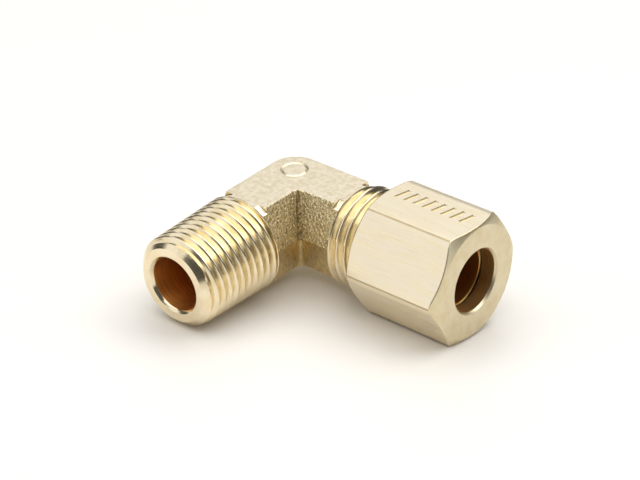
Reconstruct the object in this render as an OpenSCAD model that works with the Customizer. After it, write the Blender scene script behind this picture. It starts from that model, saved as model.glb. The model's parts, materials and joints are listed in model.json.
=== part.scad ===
// Brass 90 degree male elbow with a compression nut and a loose sleeve.
// The origin is where the two flow axes cross. The tube leaves along +X, the taper pipe
// thread leaves along -Y, and the flat pads of the forging face +Z and -Z.

/* [Tube side] */
// Outer diameter of the tube that the fitting takes
tube_d = 6.35; // [6.35:0.01:6.4]
// Diametral clearance of the tube socket over the tube
socket_clearance = 0.09; // [0.06:0.01:0.14]
// Distance from the crossing of the axes to the outer face of the nut
nut_face_x = 23.95; // [23.8:0.05:24.2]
// Pitch of the compression thread, 24 threads to the inch
compression_pitch = 1.0583; // [1.0583]
// Major diameter of the compression thread
compression_d = 11.06; // [10.9:0.02:11.1]
// Where the compression thread starts, at the forging
compression_start_x = 8.9; // [8.8:0.05:9]
// Where the threaded nose ends
nose_end_x = 17; // [16.9:0.05:17.1]
// Where the tube stops against its shoulder
tube_stop_x = 10.2; // [9.8:0.1:10.8]

/* [Nut] */
// Width of the nut across its flats
nut_flats = 12.7; // [12.6:0.05:12.8]
// Length of the nut
nut_length = 11.7; // [11.5:0.05:11.8]
// Diameter of the hole that the tube enters by
nut_bore_d = 6.88; // [6.84:0.02:7]
// Angle of the nut about its axis, away from having two flats level with the pads
nut_turn = -0.5; // [-30:0.5:30]

/* [Sleeve] */
// Outer diameter of the sleeve at its middle
sleeve_d = 7.9; // [7.7:0.05:8]
// Length of the sleeve
sleeve_length = 6.2; // [6:0.05:6.25]

/* [Pipe side] */
// Distance from the crossing of the axes to the end of the pipe thread
pipe_end_y = 19.2; // [19:0.1:19.5]
// Major diameter of the taper thread at its small end
pipe_d = 9.99; // [9.9:0.01:10.05]
// Pitch of the taper thread, 27 threads to the inch
pipe_pitch = 0.9407; // [0.9407]
// Length of the taper thread with its end chamfer
pipe_thread_length = 10.4; // [10:0.1:10.5]
// Diameter of the flow bore in the pipe leg
pipe_bore_d = 5.9; // [5.6:0.1:6]

/* [Forging] */
// Height of the forging from its lower pad to its upper pad
forging_h = 9.4; // [9:0.1:9.5]
// Width of each leg at the pads
pad_w = 5.66; // [5.4:0.02:5.8]
// Width of each leg at the parting line, half way up
parting_w = 7.5; // [7.2:0.1:7.8]
// Diameter of the flow bore behind the tube stop
tube_flow_d = 4.8; // [4.6:0.1:5]

/* [Hidden] */

$fn = 96;

// Steps round one turn of a thread
THREAD_STEPS = 32;
// One pitch of a truncated 60 degree thread: [share of the pitch, share of the depth]
THREAD_FORM = [[0, 0], [1 / 8, 0], [1 / 2, 1], [5 / 8, 1], [1, 0]];
// Corner points of the form in each turn: the last repeats the first of the next turn
FORM_POINTS = len(THREAD_FORM) - 1;
// Radial distance between the nut's thread and the nose's thread
THREAD_CLEARANCE = 0.14;

compression_depth = 0.62;
pipe_depth = 0.6;
// Standard pipe taper, 1 in 16 on the diameter
pipe_taper = 1 / 32;

pipe_start_y = pipe_end_y - pipe_thread_length;
pipe_large_r = pipe_d / 2 + pipe_thread_length * pipe_taper;
pipe_face_r = 4.1;
pipe_chamfer = 0.85;
pipe_countersink = 0.3;
// how far the drills run past the crossing at full size, and their point per radius
drill_past = 0.9;
drill_point = 0.6;

leg_end = 8.6;
// The corners of each leg are turned off at its end, and a thin collar backs the thread
leg_turned_from = 7.95;
leg_turned_r = 5.02;
collar_r = 5.2;
collar_cone = 0.5;
collar_flat = 0.35;
corner_gusset = 0.9;

socket_r = (tube_d + socket_clearance) / 2;
nut_bore_r = nut_bore_d / 2;
nut_rear_x = nut_face_x - nut_length;
nut_throat = 1.8;
nut_corner_r = nut_flats / sqrt(3);
nut_face_r = nut_flats / 2 - 0.2;
nut_countersink = 0.3;
nut_chamfer = 0.68;
// The nut's thread starts a whole number of pitches after the nose's thread, so they mesh
tap_start_x = compression_start_x + 3 * compression_pitch;
tap_length = 7.5 * compression_pitch;
tap_minor_r = compression_d / 2 + THREAD_CLEARANCE - compression_depth;
nut_cone_x = nut_face_x - nut_throat;
// Plain bore in front of the nut's thread, a little smaller than the thread's crests
nut_relief_r = tap_minor_r - 0.15;
nut_cavity_end_x = nut_cone_x - (nut_relief_r - nut_bore_r);

seat_mouth_r = 4.3;
seat_depth = 2.4;
nose_face_r = 4.85;
nose_chamfer = 0.7;

sleeve_bore_r = socket_r + 0.01;
sleeve_tip_r = 3.52;
sleeve_front_x = nut_cone_x - 0.2;

// Share of the depth that a thread has at a place in its pitch
function form_height(share) =
    let (f = share - floor(share))
    lookup(f, THREAD_FORM);

// Radius of a thread at height z and at a share of a turn, with its taper and its end chamfer
function thread_r(z, turn, end, major_r, depth, pitch, taper, face_r, chamfer) =
    let (form_r = major_r - z * taper - depth * (1 - form_height(z / pitch - turn)))
    let (cone_r = chamfer > 0 ? face_r + (end - z) * (major_r - face_r) / chamfer : form_r)
    min(form_r, cone_r);

// A right-handed thread along +Z from z = 0 to z = end, solid to its axis
module thread_solid(end, major_r, depth, pitch, taper = 0, face_r = 0, chamfer = 0) {
    turns = ceil(end / pitch) + 2;
    levels = turns * FORM_POINTS;
    columns = [
        for (i = [0 : THREAD_STEPS - 1])
            for (l = [0 : levels - 1])
                let (share = THREAD_FORM[l % FORM_POINTS][0] + floor(l / FORM_POINTS) - 1)
                let (z = max(0, min(end, pitch * (share + i / THREAD_STEPS))))
                let (r = thread_r(z, i / THREAD_STEPS, end, major_r, depth, pitch, taper, face_r, chamfer))
                [r * cos(360 * i / THREAD_STEPS), r * sin(360 * i / THREAD_STEPS), z]
    ];
    bottom = len(columns);
    top = bottom + 1;
    // The column after the last one is the first, one turn further up the helix
    function at(i, l) =
        i < THREAD_STEPS ? i * levels + l : min(l + FORM_POINTS, levels - 1);
    side_a = [
        for (i = [0 : THREAD_STEPS - 1]) for (l = [0 : levels - 2])
            if (norm(columns[at(i, l)] - columns[at(i, l + 1)]) > 0)
                [at(i, l), at(i, l + 1), at(i + 1, l + 1)]
    ];
    side_b = [
        for (i = [0 : THREAD_STEPS - 1]) for (l = [0 : levels - 2])
            if (norm(columns[at(i + 1, l)] - columns[at(i + 1, l + 1)]) > 0)
                [at(i, l), at(i + 1, l + 1), at(i + 1, l)]
    ];
    caps = [
        for (i = [0 : THREAD_STEPS - 1])
            each [[bottom, at(i, 0), at(i + 1, 0)], [top, at(i + 1, levels - 1), at(i, levels - 1)]]
    ];
    polyhedron(concat(columns, [[0, 0, 0], [0, 0, end]]), concat(side_a, side_b, caps));
}

// A turned solid about +X from [x, radius] points
module turned_x(points) {
    rotate([90, 0, 90])
        rotate_extrude() polygon([for (p = points) [p[1], p[0]]]);
}

// A turned solid about -Y from [distance from the origin, radius] points
module turned_y(points) {
    rotate([90, 0, 0])
        rotate_extrude() polygon([for (p = points) [p[1], p[0]]]);
}

// Half section of a forged leg, drafted both ways from the parting line
module half_section() {
    polygon([
        [0, -forging_h / 2], [pad_w / 2, -forging_h / 2], [parting_w / 2, 0],
        [pad_w / 2, forging_h / 2], [0, forging_h / 2]
    ]);
}

module leg_section() {
    half_section();
    mirror([1, 0]) half_section();
}

// One leg along +Z, with the corners of its end turned off
module leg() {
    intersection() {
        linear_extrude(leg_end) leg_section();
        rotate_extrude()
            polygon([
                [0, -1], [parting_w, -1], [parting_w, leg_turned_from],
                [leg_turned_r, leg_turned_from], [leg_turned_r, leg_end + 1], [0, leg_end + 1]
            ]);
    }
}

// The forged elbow: two legs, the round outer corner and a web in the inner corner
module forging() {
    rotate_extrude() half_section();
    rotate([90, 0, 0]) leg();
    rotate([90, 0, 90]) leg();
    linear_extrude(forging_h - 0.02, center = true)
        polygon([
            [pad_w / 2 - 1, -pad_w / 2 + 1], [pad_w / 2 + corner_gusset, -pad_w / 2],
            [pad_w / 2, -pad_w / 2 - corner_gusset]
        ]);
}

module collar(start) {
    rotate_extrude()
        polygon([
            [0, start - collar_flat - collar_cone],
            [collar_r - collar_cone, start - collar_flat - collar_cone],
            [collar_r, start - collar_flat], [collar_r, start + 0.05], [0, start + 0.05]
        ]);
}

module pipe_leg() {
    rotate([90, 0, 0]) {
        collar(pipe_start_y);
        translate([0, 0, pipe_start_y])
            thread_solid(pipe_thread_length, pipe_large_r, pipe_depth, pipe_pitch,
                pipe_taper, pipe_face_r, pipe_chamfer);
    }
}

module nose_leg() {
    rotate([90, 0, 90]) {
        collar(compression_start_x);
        translate([0, 0, compression_start_x])
            thread_solid(nose_end_x - compression_start_x, compression_d / 2,
                compression_depth, compression_pitch, 0, nose_face_r, nose_chamfer);
    }
}

module pipe_passage() {
    turned_y([
        [-drill_past - drill_point * pipe_bore_d / 2, 0], [-drill_past, pipe_bore_d / 2],
        [pipe_end_y - pipe_countersink, pipe_bore_d / 2],
        [pipe_end_y + 0.3, pipe_bore_d / 2 + pipe_countersink + 0.3],
        [pipe_end_y + 0.3, 0]
    ]);
}

module tube_passage() {
    turned_x([
        [-drill_past - drill_point * tube_flow_d / 2, 0], [-drill_past, tube_flow_d / 2],
        [tube_stop_x, tube_flow_d / 2], [tube_stop_x, socket_r],
        [nose_end_x - seat_depth, socket_r], [nose_end_x, seat_mouth_r],
        [nose_end_x + 1, seat_mouth_r], [nose_end_x + 1, 0]
    ]);
}

module elbow_body() {
    color("goldenrod")
        difference() {
            union() {
                forging();
                pipe_leg();
                nose_leg();
            }
            pipe_passage();
            tube_passage();
        }
}

// Envelope that turns the corners of the hexagon off at both ends
module nut_envelope() {
    turned_x([
        [nut_rear_x, 0], [nut_rear_x, nut_face_r],
        [nut_rear_x + nut_chamfer, nut_corner_r + 0.01],
        [nut_face_x - nut_chamfer, nut_corner_r + 0.01],
        [nut_face_x, nut_face_r], [nut_face_x, 0]
    ]);
}

module nut_cavity() {
    turned_x([
        [tap_start_x + 1, 0], [tap_start_x + 1, nut_relief_r],
        [nut_cavity_end_x, nut_relief_r], [nut_cone_x, nut_bore_r],
        [nut_face_x - nut_countersink, nut_bore_r],
        [nut_face_x + 0.3, nut_bore_r + nut_countersink + 0.3], [nut_face_x + 0.3, 0]
    ]);
    translate([tap_start_x, 0, 0]) rotate([90, 0, 90])
        thread_solid(tap_length, compression_d / 2 + THREAD_CLEARANCE,
            compression_depth, compression_pitch);
}

module compression_nut() {
    color("palegoldenrod")
        difference() {
            intersection() {
                rotate([nut_turn, 0, 0])
                    rotate([90, 0, 90])
                        translate([0, 0, nut_rear_x - 1])
                            cylinder(h = nut_length + 2, r = nut_corner_r, $fn = 6);
                nut_envelope();
            }
            nut_cavity();
        }
}

// Barrel-shaped ring that is pressed onto the tube when the nut is tightened
module sleeve() {
    color("gold")
        turned_x([
            [sleeve_front_x - sleeve_length, sleeve_bore_r],
            [sleeve_front_x - sleeve_length, sleeve_tip_r],
            [sleeve_front_x - sleeve_length * 0.62, sleeve_d / 2],
            [sleeve_front_x - sleeve_length * 0.2, sleeve_d / 2],
            [sleeve_front_x, sleeve_tip_r],
            [sleeve_front_x, sleeve_bore_r]
        ]);
}

elbow_body();
compression_nut();
sleeve();
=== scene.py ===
"""Brass 90 degree compression elbow: the looks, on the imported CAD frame."""
import json
import math

import bpy
import bmesh
from mathutils import Matrix, Vector, noise


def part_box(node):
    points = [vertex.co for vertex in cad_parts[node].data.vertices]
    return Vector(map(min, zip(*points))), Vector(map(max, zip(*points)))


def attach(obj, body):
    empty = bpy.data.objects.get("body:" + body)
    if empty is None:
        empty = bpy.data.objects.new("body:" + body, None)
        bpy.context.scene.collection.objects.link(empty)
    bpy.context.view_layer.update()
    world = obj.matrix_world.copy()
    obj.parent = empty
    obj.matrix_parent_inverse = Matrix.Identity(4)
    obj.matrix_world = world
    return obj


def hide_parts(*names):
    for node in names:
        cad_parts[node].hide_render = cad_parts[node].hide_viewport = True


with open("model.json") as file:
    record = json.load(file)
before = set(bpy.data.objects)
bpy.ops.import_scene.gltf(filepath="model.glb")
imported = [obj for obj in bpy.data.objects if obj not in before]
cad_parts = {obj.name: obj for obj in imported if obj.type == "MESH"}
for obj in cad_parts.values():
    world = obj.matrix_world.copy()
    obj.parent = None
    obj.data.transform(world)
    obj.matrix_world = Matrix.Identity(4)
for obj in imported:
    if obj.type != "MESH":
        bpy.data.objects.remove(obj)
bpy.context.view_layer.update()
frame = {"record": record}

MM = 0.001
TURN = 2 * math.pi


# --- dimensions, from the frame where it holds them ------------------------------------
def mount(name):
    return next(m for m in frame["record"]["mounts"] if m["name"] == name)


ELBOW_LOW, ELBOW_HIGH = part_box("elbow_body")
NUT_LOW, NUT_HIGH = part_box("compression_nut")
SLEEVE_LOW, SLEEVE_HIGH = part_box("sleeve")

PIPE_END = -ELBOW_LOW.y
NOSE_END = ELBOW_HIGH.x
PIPE_BORE_R = mount("pipe_bore")["dims"]["r_mm"] * MM
SOCKET_R = mount("tube_socket")["dims"]["r_mm"] * MM
NUT_BORE_R = mount("tube_entry")["dims"]["r_mm"] * MM
PAD_H = -mount("lower_pad")["pos_m"][2]

# forging: an L with flat struck pads, drafted walls and a trimmed parting line
PAD_HALF = 2.83 * MM
PARTING_HALF = 3.75 * MM
DRAFT_POWER = 1.25
PAD_EDGE_R = 0.18 * MM
PAD_MESH_STEP = 0.16 * MM
WALL_MESH_STEP = 0.14 * MM
LEG_STATIONS = 60
CORNER_STATIONS = 40
PAD_RING_R = 1.35 * MM
PAD_RING_HALF = 0.17 * MM
PAD_RING_DEPTH = 0.12 * MM
TRIM_LINE = -0.7 * MM
FLASH_HALF = 0.12 * MM
FLASH_STEP = 0.05 * MM
PAD_CORNER_R = 1.0 * MM
WALL_CORNER_R = 0.4 * MM
CORNER_POWER = 8
LEG_END = 8.45 * MM
LEG_TURNED_FROM = 7.8 * MM
LEG_TURNED_R = 5.02 * MM
COLLAR_R = 5.2 * MM
COLLAR_NECK_R = 4.6 * MM
COLLAR_BACK = (0.60 * MM, 0.45 * MM, 0.12 * MM)
TUBE_FLOW_R = 2.4 * MM
DRILL_PAST = 0.9 * MM
DRILL_POINT = 0.6
DRILL_TIP_R = 0.02 * MM
TUBE_STOP = 10.2 * MM
SEAT_DEPTH = 2.4 * MM
SEAT_MOUTH_R = 4.3 * MM

# pipe thread
PIPE_PITCH = 0.9407 * MM
PIPE_LARGE_R = -ELBOW_LOW.x - 0.01 * MM
PIPE_START = 8.8 * MM
PIPE_DEPTH = 0.62 * MM
PIPE_TAPER = 1 / 32
PIPE_FACE_R = 4.15 * MM
PIPE_CHAMFER = 0.85 * MM
PIPE_COUNTERSINK = 0.3 * MM
PIPE_TOUCH_R = 5.02 * MM

# compression thread
NOSE_PITCH = 1.0583 * MM
NOSE_R = 5.52 * MM
NOSE_START = 8.9 * MM
NOSE_DEPTH = 0.62 * MM
NOSE_FACE_R = 4.85 * MM
NOSE_CHAMFER = 0.7 * MM
THREAD_CLEARANCE = 0.14 * MM
TAP_FIRST_TURN = 3
TAP_TURNS = 7.5

# nut
NUT_FACE = NUT_HIGH.x
NUT_REAR = NUT_LOW.x
NUT_FLATS = 12.7 * MM
NUT_TURN = math.radians(-0.5)
NUT_EASE_W = 0.75 * MM
NUT_EASE_SLOPE = math.tan(math.radians(9))
NUT_CORNER_R = 7.17 * MM
NUT_FACE_R = 6.12 * MM
NUT_CHAMFER_SLOPE = math.tan(math.radians(30))
NUT_THROAT = 1.8 * MM
NUT_COUNTERSINK = 0.22 * MM
NUT_RELIEF_R = 4.88 * MM
NUT_STEPS = 6 * 72
TICKS = 8
TICK_FIRST = 14.0 * MM
TICK_PITCH = 1.16 * MM
TICK_W = 0.50 * MM
TICK_LENGTH = 1.9 * MM
TICK_LEAN = 0.22 * MM
TICK_DEPTH = 0.16 * MM
TICK_Y = 0.8 * MM

# sleeve
SLEEVE_TIP_R = 3.52 * MM
SLEEVE_END = 0.06
SLEEVE_BARREL = 0.86
SLEEVE_REAR_RISE = 2.6
SLEEVE_FRONT_FALL = 5.0
SLEEVE_CROWN = 0.8

# material slots of the two pieces that have several, in the order of their sets below
SKIN, PAD, PIPE_TURNED, TUBE_TURNED, TRIM_AND_PAINTED_SHADE, PIPE_BORED, TUBE_BORED, CORNER_PAINTED_SHADE = range(8)
NUT_FLAT, NUT_FACED, NUT_TURNED, NUT_BORED, NUT_EDGE_PAINTED_SHADE = range(5)

TURN_STEPS = 192


# --- meshes -----------------------------------------------------------------------------
def new_object(name, verts, faces, materials, index=0):
    mesh = bpy.data.meshes.new(name)
    mesh.from_pydata([tuple(v) for v in verts], [], faces)
    for m in materials:
        mesh.materials.append(m)
    mesh.polygons.foreach_set("material_index", [index] * len(mesh.polygons))
    bm = bmesh.new()
    bm.from_mesh(mesh)
    bmesh.ops.remove_doubles(bm, verts=bm.verts, dist=1e-8)
    bmesh.ops.dissolve_degenerate(bm, edges=bm.edges, dist=1e-8)
    bmesh.ops.recalc_face_normals(bm, faces=bm.faces)
    bm.to_mesh(mesh)
    bm.free()
    obj = bpy.data.objects.new(name, mesh)
    bpy.context.scene.collection.objects.link(obj)
    return obj


def along_x(p):
    """From a part turned about +Z to the tube leg, about +X."""
    return Vector((p.z, p.x, p.y))


def along_minus_y(p):
    """From a part turned about +Z to the pipe leg, about -Y."""
    return Vector((p.x, -p.z, p.y))


def wrapped(columns, count, closed):
    """Quads between neighbouring columns of points round an axis."""
    faces = []
    for i in range(columns):
        j = (i + 1) % columns
        for k in range(count if closed else count - 1):
            m = (k + 1) % count
            faces.append((i * count + k, j * count + k, j * count + m, i * count + m))
    return faces


def lathe(name, outline, place, materials, index=0, hoop=False):
    """A solid turned about +Z from (height, radius) points: closed on the axis, or a hoop."""
    verts = []
    count = len(outline)
    for i in range(TURN_STEPS):
        a = TURN * i / TURN_STEPS
        for z, r in outline:
            verts.append(place(Vector((r * math.cos(a), r * math.sin(a), z))))
    faces = wrapped(TURN_STEPS, count, hoop)
    if not hoop:
        bottom, top = len(verts), len(verts) + 1
        verts.append(place(Vector((0, 0, outline[0][0]))))
        verts.append(place(Vector((0, 0, outline[-1][0]))))
        for i in range(TURN_STEPS):
            j = (i + 1) % TURN_STEPS
            faces.append((bottom, j * count, i * count))
            faces.append((top, i * count + count - 1, j * count + count - 1))
    return new_object(name, verts, faces, materials, index)


# One pitch of a truncated 60 degree thread with soft crests and roots:
# (share of the pitch, share of the depth)
THREAD_FORM = (
    (0.00, 0.00), (0.05, 0.00), (0.09, 0.05), (0.13, 0.14), (0.28, 0.52), (0.41, 0.86),
    (0.45, 0.95), (0.50, 1.00), (0.61, 1.00), (0.66, 0.95), (0.70, 0.86), (0.83, 0.52),
    (0.97, 0.14), (1.00, 0.00),
)


def form_height(share):
    share -= math.floor(share)
    for (a, low), (b, high) in zip(THREAD_FORM, THREAD_FORM[1:]):
        if share <= b:
            return low + (high - low) * (share - a) / (b - a)
    return 0.0


def thread(name, place, start, end, large_r, depth, pitch, materials, index,
           taper=0.0, face_r=None, chamfer=0.0):
    """A right-handed threaded rod about +Z between two heights, solid to its axis."""
    length = end - start
    points = len(THREAD_FORM) - 1
    levels = (math.ceil(length / pitch) + 2) * points
    verts, faces = [], []
    for i in range(TURN_STEPS):
        share_of_turn = i / TURN_STEPS
        a = TURN * share_of_turn
        for k in range(levels):
            share = THREAD_FORM[k % points][0] + k // points - 1
            z = min(max(pitch * (share + share_of_turn), 0.0), length)
            height = form_height(z / pitch - share_of_turn)
            r = large_r - taper * z - depth * (1 - height)
            if face_r is not None:
                r = min(r, face_r + (length - z) * (large_r - taper * length - face_r) / chamfer)
            verts.append(place(Vector((r * math.cos(a), r * math.sin(a), start + z))))

    def at(i, k):
        return i * levels + k if i < TURN_STEPS else min(k + points, levels - 1)

    for i in range(TURN_STEPS):
        for k in range(levels - 1):
            faces.append((at(i, k), at(i + 1, k), at(i + 1, k + 1), at(i, k + 1)))
    bottom, top = len(verts), len(verts) + 1
    verts.append(place(Vector((0, 0, start))))
    verts.append(place(Vector((0, 0, end))))
    for i in range(TURN_STEPS):
        faces.append((bottom, at(i + 1, 0), at(i, 0)))
        faces.append((top, at(i, levels - 1), at(i + 1, levels - 1)))
    return new_object(name, verts, faces, materials, index)


def boolean(target, tools, operation):
    """Joins or cuts closed solids, then removes the tools."""
    for tool in tools:
        step = target.modifiers.new(operation, "BOOLEAN")
        step.operation = operation
        step.solver = "MANIFOLD"
        step.object = tool
    bpy.context.view_layer.update()
    graph = bpy.context.evaluated_depsgraph_get()
    made = bpy.data.meshes.new_from_object(target.evaluated_get(graph), depsgraph=graph)
    target.modifiers.clear()
    old = target.data
    target.data = made
    made.name = target.name
    bpy.data.meshes.remove(old)
    for tool in tools:
        bpy.data.objects.remove(tool)
    return target


def smooth(obj, degrees):
    obj.data.shade_smooth()
    obj.data.set_sharp_from_angle(angle=math.radians(degrees))


# --- materials --------------------------------------------------------------------------
class Graph:
    """Short hand for building one material's nodes."""

    def __init__(self, name):
        self.material = bpy.data.materials.new(name)
        self.material.use_nodes = True
        self.nodes = self.material.node_tree.nodes
        self.links = self.material.node_tree.links
        self.shader = self.nodes["Principled BSDF"]
        self.place = self.nodes.new("ShaderNodeTexCoord").outputs["Object"]

    def node(self, kind, inputs=(), **settings):
        made = self.nodes.new(kind)
        for key, value in settings.items():
            setattr(made, key, value)
        for key, value in dict(inputs).items():
            if isinstance(value, bpy.types.NodeSocket):
                self.links.new(value, made.inputs[key])
            else:
                made.inputs[key].default_value = value
        return made

    def stretched(self, scale):
        return self.node("ShaderNodeMapping", {"Vector": self.place, "Scale": scale}).outputs[0]

    def round_axis(self, axis):
        """Places as (along the axis, out from it, a little round it), for marks cut by a lathe."""
        parts = self.node("ShaderNodeSeparateXYZ", {"Vector": self.place}).outputs
        across = [parts[k] for k in "XYZ" if k != axis]
        flat = self.node("ShaderNodeCombineXYZ", {"X": across[0], "Y": across[1]}).outputs[0]
        out = self.node("ShaderNodeVectorMath", {0: flat}, operation="LENGTH").outputs["Value"]
        angle = self.node("ShaderNodeMath", {0: across[0], 1: across[1]},
                          operation="ARCTAN2").outputs[0]
        arc = self.node("ShaderNodeMath", {0: angle, 1: 0.15 * MM},
                        operation="MULTIPLY").outputs[0]
        return self.node("ShaderNodeCombineXYZ", {"X": parts[axis], "Y": out, "Z": arc}).outputs[0]

    def noise(self, size, detail=3.0, roughness=0.5, vector=None):
        """Noise whose features are about this size, in metres."""
        return self.node("ShaderNodeTexNoise", {
            "Vector": vector or self.place, "Scale": 1 / size, "Detail": detail,
            "Roughness": roughness}).outputs["Fac"]

    def ramp(self, value, low, high, from_min=0.3, from_max=0.7):
        return self.node("ShaderNodeMapRange", {
            "Value": value, "From Min": from_min, "From Max": from_max,
            "To Min": low, "To Max": high}).outputs["Result"]

    def colour_mix(self, factor, a, b):
        """One colour turning into another as the factor goes from 0 to 1."""
        made = self.nodes.new("ShaderNodeMix")
        made.data_type = "RGBA"
        self.links.new(factor, made.inputs[0])
        for socket, value in ((made.inputs[6], a), (made.inputs[7], b)):
            if isinstance(value, bpy.types.NodeSocket):
                self.links.new(value, socket)
            else:
                socket.default_value = (*value, 1)
        return made.outputs[2]

    def bump(self, height, strength, distance, normal=None):
        inputs = {"Height": height, "Strength": strength, "Distance": distance}
        if normal is not None:
            inputs["Normal"] = normal
        return self.node("ShaderNodeBump", inputs).outputs["Normal"]

    def finish(self, colour, roughness, normal):
        self.shader.inputs["Metallic"].default_value = 1.0
        self.links.new(colour, self.shader.inputs["Base Color"])
        self.links.new(roughness, self.shader.inputs["Roughness"])
        self.links.new(normal, self.shader.inputs["Normal"])
        return self.material


BRASS_PALE = (0.90, 0.81, 0.65)
BRASS_LIGHT = (0.88, 0.77, 0.54)
BRASS_DEEP = (0.80, 0.65, 0.38)
BRASS_PEAK = (1.0, 0.90, 0.62)
BRASS_TURNED = (0.90, 0.80, 0.59)
# Deeper golden brass of the trim band and of the whole lower half: trimming streaks, with painted
# shade for the side that faces down
BRASS_TRIMMED_AND_PAINTED_SHADE = (0.86, 0.67, 0.35)
BRASS_SATIN = (0.74, 0.66, 0.47)
BRASS_DULL = (0.58, 0.44, 0.23)
BRASS_BORE = (0.68, 0.33, 0.09)
BRASS_THROAT = (0.78, 0.50, 0.19)
TARNISH = (0.88, 0.83, 0.72)


def turned_brass(name, axis, gloss, light=BRASS_TURNED):
    """Turned brass: the fine feed marks run round the axis, on faces as well as diameters."""
    g = Graph(name)
    round_it = g.round_axis(axis)
    feed = g.noise(0.07 * MM, detail=2.0, vector=round_it)
    tarnish = g.noise(1.6 * MM)
    dull = [tint * c for tint, c in zip(TARNISH, light)]
    colour = g.colour_mix(g.ramp(tarnish, 0, 1), light, dull)
    roughness = g.ramp(feed, *gloss)
    normal = g.bump(feed, 0.45, 0.012 * MM)
    normal = g.bump(g.noise(0.35 * MM), 0.2, 0.01 * MM, normal)
    return g.finish(colour, roughness, normal)


def forged_brass(name, pits, peaks):
    """Forged and blasted skin: a sparkling grain about 0.25 mm across, darker in its pits, which
    is painted shade in the grain's hollows.
    """
    g = Graph(name)
    grain = g.noise(0.26 * MM, detail=2.0, roughness=0.55)
    swell = g.noise(0.9 * MM)
    # Painted shade: the grain's low spots, the pits of the bump, take the darker pit colour
    colour = g.colour_mix(g.ramp(grain, 0, 1, 0.40, 0.60), pits, peaks)
    roughness = g.ramp(grain, 0.34, 0.18)
    normal = g.bump(grain, 1.0, 0.26 * MM)
    normal = g.bump(swell, 0.4, 0.10 * MM, normal)
    return g.finish(colour, roughness, normal)


def trimmed_brass_with_painted_shade(name):
    """The band sheared along the parting line, streaked up and down by the trimming tool. It is
    also laid on the whole lower half, where its deeper golden colour is painted shade for the side
    that faces down.
    """
    g = Graph(name)
    streaks = g.noise(0.16 * MM, vector=g.stretched((1.0, 1.0, 0.12)))
    colour = g.colour_mix(g.ramp(streaks, 0, 1), [0.7 * c for c in BRASS_TRIMMED_AND_PAINTED_SHADE], BRASS_TRIMMED_AND_PAINTED_SHADE)
    roughness = g.ramp(streaks, 0.24, 0.36)
    normal = g.bump(streaks, 0.7, 0.04 * MM)
    return g.finish(colour, roughness, normal)


def pad_brass(name):
    """The struck pads: nearly flat, with a fine tooth, faint dints and rub marks. The dints are
    painted darker: painted shade in the dents.
    """
    g = Graph(name)
    rub = g.noise(0.22 * MM, vector=g.stretched((1.0, 0.4, 1.0)))
    dints = g.noise(0.60 * MM, detail=4.0, roughness=0.65)
    specks = g.noise(0.16 * MM, detail=1.0)
    # Painted shade: a darker copy of the light brass for the dents of the dint bump
    shaded = [0.86 * c for c in BRASS_LIGHT]
    painted_shade_tone = g.colour_mix(g.ramp(dints, 0, 1, 0.38, 0.62), shaded, BRASS_PALE)
    colour = g.colour_mix(g.ramp(specks, 0, 0.30, 0.64, 0.76), painted_shade_tone, BRASS_DULL)
    roughness = g.ramp(rub, 0.32, 0.44)
    normal = g.bump(dints, 0.7, 0.07 * MM)
    normal = g.bump(rub, 0.25, 0.01 * MM, normal)
    return g.finish(colour, roughness, normal)


def drawn_brass(name, shade=1.0):
    """Flats of drawn hexagon bar: fine lines along the bar and a satin sheen. With shade below 1
    the colour darkens towards dull brass: painted shade, the dark line along the nut's corners.
    """
    g = Graph(name)
    lines = g.noise(0.09 * MM, vector=g.stretched((0.03, 1.0, 1.0)))
    broad = g.noise(0.5 * MM, vector=g.stretched((0.10, 1.0, 1.0)))
    sheen = g.colour_mix(g.ramp(broad, 0, 1), BRASS_LIGHT, BRASS_PALE)
    colour = g.colour_mix(g.ramp(lines, 0, 0.5, 0.52, 0.70), sheen, BRASS_DEEP)
    # Painted shade: the darker dull brass along the nut's corners
    if shade < 1:
        painted_shade_tone = [shade * c for c in BRASS_DULL]
        colour = g.colour_mix(g.ramp(broad, shade, 1, 0.2, 0.8), colour, painted_shade_tone)
    roughness = g.ramp(broad, 0.26, 0.36)
    normal = g.bump(lines, 0.35, 0.007 * MM)
    normal = g.bump(broad, 0.3, 0.012 * MM, normal)
    return g.finish(colour, roughness, normal)


def bored_brass(name, axis, colour):
    """Drilled passages: drill rings, and brass gone deep orange in its own reflections."""
    g = Graph(name)
    rings = g.noise(0.12 * MM, detail=2.0, vector=g.round_axis(axis))
    colour = g.colour_mix(g.ramp(rings, 0, 1), colour, [0.72 * c for c in colour])
    roughness = g.ramp(rings, 0.36, 0.54)
    normal = g.bump(rings, 0.6, 0.03 * MM)
    return g.finish(colour, roughness, normal)


PADS = pad_brass("struck_pads")
FORGED = forged_brass("forged_skin", [0.84 * c for c in BRASS_DEEP], BRASS_PEAK)
# Painted shade: a dark copy of the forged skin for the inside corner between the legs
FORGED_CORNER_PAINTED_SHADE = forged_brass("forged_inside_corner_painted_shade", [0.45 * c for c in BRASS_DULL], BRASS_DULL)
TURNED_Y = turned_brass("turned_pipe_leg", "Y", (0.13, 0.23))
TURNED_X = turned_brass("turned_tube_leg", "X", (0.13, 0.23))
FACED_X = turned_brass("faced_nut_end", "X", (0.28, 0.42), BRASS_SATIN)
DRAWN = drawn_brass("drawn_bar")
# Painted shade: a darker copy of the drawn bar for the dark line along the nut's corners
DRAWN_CORNER_PAINTED_SHADE = drawn_brass("drawn_bar_corners_painted_shade", shade=0.6)
SLEEVE_BRASS = turned_brass("turned_sleeve", "X", (0.16, 0.26))
TRIMMED_AND_PAINTED_SHADE = trimmed_brass_with_painted_shade("trimmed_parting_line_and_painted_shade")
BORED_Y = bored_brass("bored_pipe_leg", "Y", BRASS_BORE)
BORED_X = bored_brass("bored_tube_leg", "X", BRASS_BORE)
BORED_NUT = bored_brass("bored_nut", "X", BRASS_THROAT)

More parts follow.
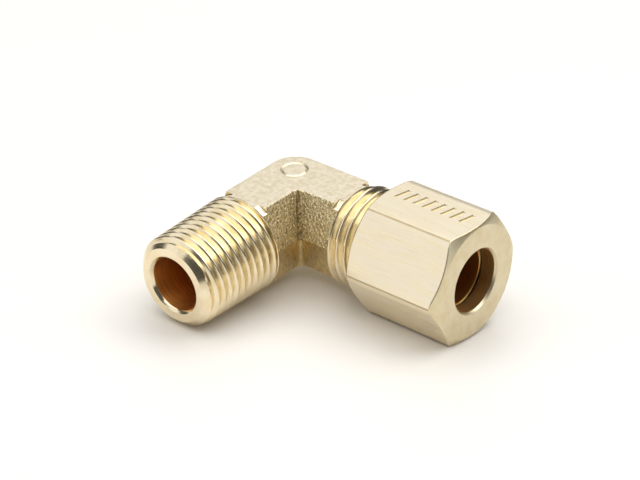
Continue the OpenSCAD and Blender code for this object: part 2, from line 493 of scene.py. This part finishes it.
ELBOW_SET = (FORGED, PADS, TURNED_Y, TURNED_X, TRIMMED_AND_PAINTED_SHADE, BORED_Y, BORED_X, FORGED_CORNER_PAINTED_SHADE)
NUT_SET = (DRAWN, FACED_X, TURNED_X, BORED_NUT, DRAWN_CORNER_PAINTED_SHADE)


# --- elbow ------------------------------------------------------------------------------
def spaced(low, high, step):
    count = max(1, math.ceil(abs(high - low) / step))
    return [low + (high - low) * i / count for i in range(count + 1)]


def wall_half(z):
    """Half width of a leg at a height: drafted from the trimmed parting line to the pads."""
    half = PARTING_HALF + (PAD_HALF - PARTING_HALF) * (abs(z) / PAD_H) ** DRAFT_POWER
    return half + (FLASH_STEP if abs(z - TRIM_LINE) <= FLASH_HALF else 0)


def section():
    """Closed outline of a leg, as (offset, height, half width of the wall there) points."""
    shoulder = PAD_H - PAD_EDGE_R
    edge_half = wall_half(shoulder)
    points = []
    for v in spaced(0, edge_half - PAD_EDGE_R, PAD_MESH_STEP)[:-1]:
        points.append((v, PAD_H, edge_half))
    for a in spaced(math.pi / 2, 0, math.pi / 14):
        points.append((edge_half - PAD_EDGE_R * (1 - math.cos(a)),
                       shoulder + PAD_EDGE_R * math.sin(a), edge_half))
    for z in spaced(shoulder, -shoulder, WALL_MESH_STEP)[1:-1]:
        points.append((wall_half(z), z, wall_half(z)))
    lower = [(v, -z, w) for v, z, w in reversed(points) if z > shoulder - 1e-9]
    right = points + lower
    left = [(-v, z, w) for v, z, w in reversed(right) if v > 1e-9]
    return right + left


def inner_corner_r(z):
    """Radius of the inside corner at a height: tight between the walls, open at the pads."""
    return WALL_CORNER_R + (PAD_CORNER_R - WALL_CORNER_R) * (abs(z) / PAD_H) ** CORNER_POWER


def path_point(station, v, z, half):
    """Place of an offset v from the centre line, at a station (part, share) of the elbow."""
    part, share = station
    centre = (half - v) / (2 * half) * (half + inner_corner_r(z))
    radius = centre + v
    if part == "pipe":
        return -v, -LEG_END + (LEG_END - centre) * share
    if part == "tube":
        return centre + (LEG_END - centre) * share, v
    a = math.pi - share * math.pi / 2
    return centre + radius * math.cos(a), -centre + radius * math.sin(a)


def in_inner_corner(p):
    """True where the two inside walls meet above the trim line: the strip that gets painted shade.
    """
    wall = wall_half(p.z)
    reach = wall + WALL_CORNER_R - 0.05 * MM
    return p.z > TRIM_LINE and wall - 0.1 * MM < p.x < reach and -reach < p.y < 0.1 * MM - wall


def forging():
    """The forged skin of the L, swept along its centre line as one closed surface."""
    stations = [("pipe", s) for s in spaced(0, 1, 1 / LEG_STATIONS)[:-1]]
    stations += [("corner", s) for s in spaced(0, 1, 1 / CORNER_STATIONS)[:-1]]
    stations += [("tube", s) for s in spaced(0, 1, 1 / LEG_STATIONS)]
    outline = section()
    ring = len(outline)
    verts, faces = [], []
    for station in stations:
        for v, z, half in outline:
            x, y = path_point(station, v, z, half)
            verts.append(Vector((x, y, z)))
    for i in range(len(stations) - 1):
        for k in range(ring):
            m = (k + 1) % ring
            faces.append((i * ring + k, (i + 1) * ring + k, (i + 1) * ring + m, i * ring + m))
    faces.append(tuple(range(ring)))
    faces.append(tuple(reversed(range((len(stations) - 1) * ring, len(stations) * ring))))
    obj = new_object("elbow_skin", verts, faces, ELBOW_SET, SKIN)
    for face in obj.data.polygons:
        if abs(face.normal.z) > 0.97 and abs(face.center.z) > PAD_H - 0.1 * MM:
            face.material_index = PAD
        # Painted shade on the inside corner strip between the legs
        elif in_inner_corner(face.center):
            face.material_index = CORNER_PAINTED_SHADE
        # The trim band and the whole lower half under it take the trimmed brass: its deeper golden
        # colour is painted shade there
        elif face.center.z < TRIM_LINE + FLASH_HALF:
            face.material_index = TRIM_AND_PAINTED_SHADE
    roughen(obj, height=0.035 * MM, size=1.1 * MM)
    return obj


def roughen(obj, height, size):
    """Slow uneven swell of a forged surface, always inwards."""
    normals = [v.normal.copy() for v in obj.data.vertices]
    for v, normal in zip(obj.data.vertices, normals):
        lift = noise.noise(v.co / size) * 0.5 - 0.5
        keep = 0.25 if abs(v.co.z) > PAD_H - 0.05 * MM else 1.0
        v.co += normal * lift * height * keep


def leg_envelope(place, index):
    """The hoop the lathe turns off the end of a leg, corners and all."""
    far = 9 * MM
    start, end = LEG_TURNED_FROM, LEG_END + 1 * MM
    lead = 0.06 * MM
    outline = [(start - lead, far), (start - lead, LEG_TURNED_R + lead), (start, LEG_TURNED_R),
               (end, LEG_TURNED_R), (end, far)]
    return lathe("envelope", outline, place, ELBOW_SET, index, hoop=True)


def collar(place, start, index):
    """The narrow neck and cone behind a thread, which leave a groove against the forging."""
    base, neck, crest = (start - back for back in COLLAR_BACK)
    soft = 0.05 * MM
    return lathe("collar", [
        (base, COLLAR_NECK_R), (neck, COLLAR_NECK_R), (crest - soft, COLLAR_R - soft),
        (crest + soft, COLLAR_R), (start + 0.05 * MM - soft, COLLAR_R),
        (start + 0.05 * MM, COLLAR_R - soft)], place, ELBOW_SET, index)


def elbow():
    """The forging with its threads turned on and its passages drilled."""
    body = forging()
    groove = [(PAD_H - PAD_RING_DEPTH, PAD_RING_R),
              (PAD_H + PAD_RING_DEPTH, PAD_RING_R + PAD_RING_HALF * 2),
              (PAD_H + PAD_RING_DEPTH, PAD_RING_R - PAD_RING_HALF * 2)]
    ring = lathe("pad_ring", groove, Vector, ELBOW_SET, PAD, hoop=True)
    pipe_envelope = leg_envelope(along_minus_y, PIPE_TURNED)
    tube_envelope = leg_envelope(along_x, TUBE_TURNED)
    boolean(body, [pipe_envelope, tube_envelope, ring], "DIFFERENCE")
    pipe = thread("pipe_thread", along_minus_y, PIPE_START, PIPE_END, PIPE_LARGE_R, PIPE_DEPTH,
                  PIPE_PITCH, ELBOW_SET, PIPE_TURNED, PIPE_TAPER, PIPE_FACE_R, PIPE_CHAMFER)
    nose = thread("nose_thread", along_x, NOSE_START, NOSE_END, NOSE_R, NOSE_DEPTH,
                  NOSE_PITCH, ELBOW_SET, TUBE_TURNED, 0.0, NOSE_FACE_R, NOSE_CHAMFER)
    collars = [collar(along_minus_y, PIPE_START, PIPE_TURNED),
               collar(along_x, NOSE_START, TUBE_TURNED)]
    boolean(body, collars + [pipe, nose], "UNION")
    flare = 0.3 * MM
    soft = 0.05 * MM
    pipe_passage = lathe("pipe_passage", [
        (-DRILL_PAST - DRILL_POINT * PIPE_BORE_R, DRILL_TIP_R), (-DRILL_PAST, PIPE_BORE_R),
        (PIPE_END - PIPE_COUNTERSINK - soft, PIPE_BORE_R),
        (PIPE_END - PIPE_COUNTERSINK + soft, PIPE_BORE_R + soft),
        (PIPE_END + flare, PIPE_BORE_R + PIPE_COUNTERSINK + flare)],
        along_minus_y, ELBOW_SET, PIPE_BORED)
    tube_passage = lathe("tube_passage", [
        (-DRILL_PAST - DRILL_POINT * TUBE_FLOW_R, DRILL_TIP_R), (-DRILL_PAST, TUBE_FLOW_R),
        (TUBE_STOP, TUBE_FLOW_R), (TUBE_STOP, SOCKET_R),
        (NOSE_END - SEAT_DEPTH, SOCKET_R), (NOSE_END, SEAT_MOUTH_R),
        (NOSE_END + flare, SEAT_MOUTH_R)],
        along_x, ELBOW_SET, TUBE_BORED)
    boolean(body, [pipe_passage, tube_passage], "DIFFERENCE")
    for face in body.data.polygons:
        kind = face.material_index
        if kind == PIPE_BORED and face.center.y < -PIPE_END + PIPE_COUNTERSINK + soft:
            face.material_index = PIPE_TURNED
        if kind == TUBE_BORED and face.center.x > NOSE_END - SEAT_DEPTH + soft:
            face.material_index = TUBE_TURNED
    smooth(body, degrees=28)
    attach(body, "elbow")
    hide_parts("elbow_body")


# --- nut --------------------------------------------------------------------------------
def hexagon_r(a):
    """Radius of the drawn hexagon at an angle: flats eased towards their corners."""
    half = NUT_FLATS / 2
    a = abs((a + math.pi / 6) % (math.pi / 3) - math.pi / 6)
    level = half * math.tan(math.pi / 6) - NUT_EASE_W
    flat = half / math.cos(a)
    if flat * math.sin(a) <= level:
        return flat
    eased = (half + level * NUT_EASE_SLOPE) / (math.cos(a) + NUT_EASE_SLOPE * math.sin(a))
    return min(eased, NUT_CORNER_R)


def nut_blank():
    """The nut as a closed solid, before its thread is cut: bore, faces, chamfers and flats."""
    soft = 0.07 * MM
    verts = []
    cone_start = NUT_FACE - NUT_THROAT - (NUT_RELIEF_R - NUT_BORE_R)
    for i in range(NUT_STEPS):
        a = TURN * i / NUT_STEPS
        r = hexagon_r(a)
        back = (r - NUT_FACE_R) * NUT_CHAMFER_SLOPE
        high, low = NUT_FACE - back - soft, NUT_REAR + back + soft
        side = [high + (low - high) * share for share in spaced(0, 1, 0.1)]
        profile = [
            (NUT_REAR, NUT_RELIEF_R), (cone_start, NUT_RELIEF_R),
            (NUT_FACE - NUT_THROAT, NUT_BORE_R), (NUT_FACE - NUT_COUNTERSINK - soft, NUT_BORE_R),
            (NUT_FACE - NUT_COUNTERSINK + soft / 2, NUT_BORE_R + soft),
            (NUT_FACE - soft / 2, NUT_BORE_R + NUT_COUNTERSINK - soft / 2),
            (NUT_FACE, NUT_BORE_R + NUT_COUNTERSINK + soft),
            (NUT_FACE, NUT_FACE_R - soft), (NUT_FACE - soft * 0.4, NUT_FACE_R + soft * 0.7),
            (NUT_FACE - back + soft * 0.45, r - soft * 0.55)]
        profile += [(x, r) for x in side]
        profile += [(NUT_REAR + back - soft * 0.45, r - soft * 0.55),
                    (NUT_REAR + soft * 0.4, NUT_FACE_R + soft * 0.7),
                    (NUT_REAR, NUT_FACE_R - soft)]
        for x, radius in profile:
            verts.append((x, radius * math.cos(a + NUT_TURN + math.pi / 2),
                          radius * math.sin(a + NUT_TURN + math.pi / 2)))
    faces = wrapped(NUT_STEPS, len(profile), True)
    return new_object("nut_skin", verts, faces, NUT_SET, NUT_FLAT)


def tick_marks():
    """A row of plain pressed ticks on one flat, where such nuts are usually stamped."""
    verts, faces = [], []
    for i in range(TICKS):
        x = TICK_FIRST + i * TICK_PITCH
        for height, grow in ((-TICK_DEPTH, -TICK_DEPTH / 2), (TICK_DEPTH, TICK_DEPTH / 2)):
            for side, end in ((-1, -1), (1, -1), (1, 1), (-1, 1)):
                verts.append((x + side * (TICK_W / 2 + grow) + TICK_LEAN * end,
                              TICK_Y + end * (TICK_LENGTH / 2 + grow), NUT_FLATS / 2 + height))
        b = i * 8
        faces += [(b + 3, b + 2, b + 1, b), (b + 4, b + 5, b + 6, b + 7)]
        faces += [(b + k, b + (k + 1) % 4, b + 4 + (k + 1) % 4, b + 4 + k) for k in range(4)]
    ticks = new_object("ticks", verts, faces, NUT_SET, NUT_FLAT)
    ticks.data.transform(Matrix.Rotation(NUT_TURN, 4, "X"))
    return ticks


def nut():
    """The blank, tapped so that its thread meshes with the nose's, and marked."""
    body = nut_blank()
    tap_start = NOSE_START + TAP_FIRST_TURN * NOSE_PITCH
    tap_end = tap_start + TAP_TURNS * NOSE_PITCH
    tap = thread("tap", along_x, tap_start, tap_end, NOSE_R + THREAD_CLEARANCE,
                 NOSE_DEPTH, NOSE_PITCH, NUT_SET, NUT_TURNED)
    boolean(body, [tap, tick_marks()], "DIFFERENCE")
    for face in body.data.polygons:
        r = math.hypot(face.center.y, face.center.z)
        if face.material_index != NUT_FLAT:
            continue
        if abs(face.normal.x) > 0.2:
            face.material_index = NUT_FACED
        elif r < NUT_FACE_R - 1 * MM:
            face.material_index = NUT_BORED
        # The corner arcs take the darker drawn bar: painted shade along each corner
        elif r > NUT_CORNER_R - 0.01 * MM:
            face.material_index = NUT_EDGE_PAINTED_SHADE
    smooth(body, degrees=17)
    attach(body, "nut")
    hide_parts("compression_nut")


# --- sleeve -----------------------------------------------------------------------------
def sleeve():
    """The barrel-shaped ring, steeper at the front, where the nut's throat squeezes it."""
    rear, front = SLEEVE_LOW.x, SLEEVE_HIGH.x
    outer = SLEEVE_HIGH.z
    bore = SOCKET_R + 0.01 * MM
    tip = SLEEVE_TIP_R
    length = front - rear
    soft = 0.06 * MM
    profile = [(rear, tip - soft), (rear + soft, tip)]
    for s in spaced(0.05, 0.97, 0.04):
        rise = min(1.0, SLEEVE_REAR_RISE * s, SLEEVE_FRONT_FALL * (1 - s)) ** SLEEVE_CROWN
        place = rear + length * (SLEEVE_END + SLEEVE_BARREL * s)
        profile.append((place, tip + (outer - tip) * rise))
    profile += [(front - soft, tip), (front, tip - soft), (front, bore + soft),
                (front - soft, bore), (rear + soft, bore), (rear, bore + soft)]
    body = lathe("sleeve_skin", profile, along_x, (SLEEVE_BRASS, BORED_X), hoop=True)
    for face in body.data.polygons:
        inside = math.hypot(face.center.y, face.center.z) < bore + soft / 2
        face.material_index = 1 if inside else 0
    smooth(body, degrees=35)
    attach(body, "sleeve")
    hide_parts("sleeve")


# --- stage ------------------------------------------------------------------------------
FLOOR_TILT = math.radians(5.0)
FLOOR_HALF = 0.7


def stage():
    """A pale table, leaning so that the nut's corner and the end of the pipe thread touch it."""
    normal = Vector((0, math.sin(FLOOR_TILT), math.cos(FLOOR_TILT)))
    touch = PIPE_END - PIPE_CHAMFER
    drop = PIPE_TOUCH_R * math.cos(FLOOR_TILT) + touch * math.sin(FLOOR_TILT)
    size = FLOOR_HALF
    mesh = bpy.data.meshes.new("table")
    mesh.from_pydata([(-size, -size, 0), (size, -size, 0), (size, size, 0), (-size, size, 0)],
                     [], [(0, 1, 2, 3)])
    table = bpy.data.objects.new("table", mesh)
    bpy.context.scene.collection.objects.link(table)
    table.rotation_mode = "QUATERNION"
    table.rotation_quaternion = Vector((0, 0, 1)).rotation_difference(normal)
    table.location = normal * -drop
    material = bpy.data.materials.new("table_white")
    material.use_nodes = True
    shader = material.node_tree.nodes["Principled BSDF"]
    shader.inputs["Base Color"].default_value = (1.0, 0.97, 0.92, 1)
    shader.inputs["Roughness"].default_value = 0.45
    mesh.materials.append(material)


# name, direction it stands in, distance, width, height (metres) and brightness as seen
LAMPS = (
    ("overhead", (0.05, 0.1, 1), 0.45, 0.62, 0.86, 1.75),
    ("back_left", (-0.56, 0.64, 0.56), 0.42, 0.40, 0.26, 0.92),
    ("back_right", (0.50, 0.64, 0.66), 0.42, 0.34, 0.24, 1.15),
    ("right", (0.95, 0.10, 0.22), 0.45, 0.18, 0.20, 0.95),
    ("front_left", (-0.56, -0.78, 0.46), 0.45, 0.40, 0.40, 0.95),
)
LAMP_AIM = Vector((5 * MM, -3 * MM, 0))


def softbox(name, direction, distance, width, height, brightness):
    """An even white panel facing the fitting, as bright as asked for wherever it is seen."""
    data = bpy.data.lights.new(name, "AREA")
    data.shape = "RECTANGLE"
    data.size, data.size_y = width, height
    data.energy = brightness * math.pi * width * height
    lamp = bpy.data.objects.new(name, data)
    bpy.context.scene.collection.objects.link(lamp)
    lamp.location = LAMP_AIM + Vector(direction).normalized() * distance
    lamp.rotation_mode = "QUATERNION"
    lamp.rotation_quaternion = (-Vector(direction)).to_track_quat("-Z", "Y")


def lights():
    world = bpy.data.worlds.new("studio")
    bpy.context.scene.world = world
    world.use_nodes = True
    background = world.node_tree.nodes["Background"]
    background.inputs["Color"].default_value = (1, 0.98, 0.95, 1)
    background.inputs["Strength"].default_value = 0.09
    for lamp in LAMPS:
        softbox(*lamp)


# --- camera -----------------------------------------------------------------------------
CAMERA_AZIMUTH = math.radians(41.18)
CAMERA_ELEVATION = math.radians(32.01)
CAMERA_ROLL = math.radians(-2.12)
CAMERA_DISTANCE = 221.5 * MM
CAMERA_SIDE = 2.56 * MM
CAMERA_RISE = -3.50 * MM
CAMERA_LENS = 116.2
SENSOR_WIDTH = 36


def camera():
    """The camera fitted to the photograph, aimed near the crossing of the axes."""
    ca, sa = math.cos(CAMERA_AZIMUTH), math.sin(CAMERA_AZIMUTH)
    ce, se = math.cos(CAMERA_ELEVATION), math.sin(CAMERA_ELEVATION)
    back = Vector((sa * ce, -ca * ce, se))
    right = Vector((ca, sa, 0))
    up = back.cross(right)
    cr, sr = math.cos(CAMERA_ROLL), math.sin(CAMERA_ROLL)
    right, up = right * cr + up * sr, up * cr - right * sr
    data = bpy.data.cameras.new("camera")
    data.lens = CAMERA_LENS
    data.sensor_width = SENSOR_WIDTH
    data.clip_start = 0.01
    cam = bpy.data.objects.new("camera", data)
    bpy.context.scene.collection.objects.link(cam)
    place = back * CAMERA_DISTANCE + right * CAMERA_SIDE + up * CAMERA_RISE
    cam.matrix_world = Matrix.Translation(place) @ Matrix((right, up, back)).transposed().to_4x4()
    bpy.context.scene.camera = cam


elbow()
nut()
sleeve()
stage()
lights()
camera()
bpy.context.scene.view_settings.view_transform = "Standard"
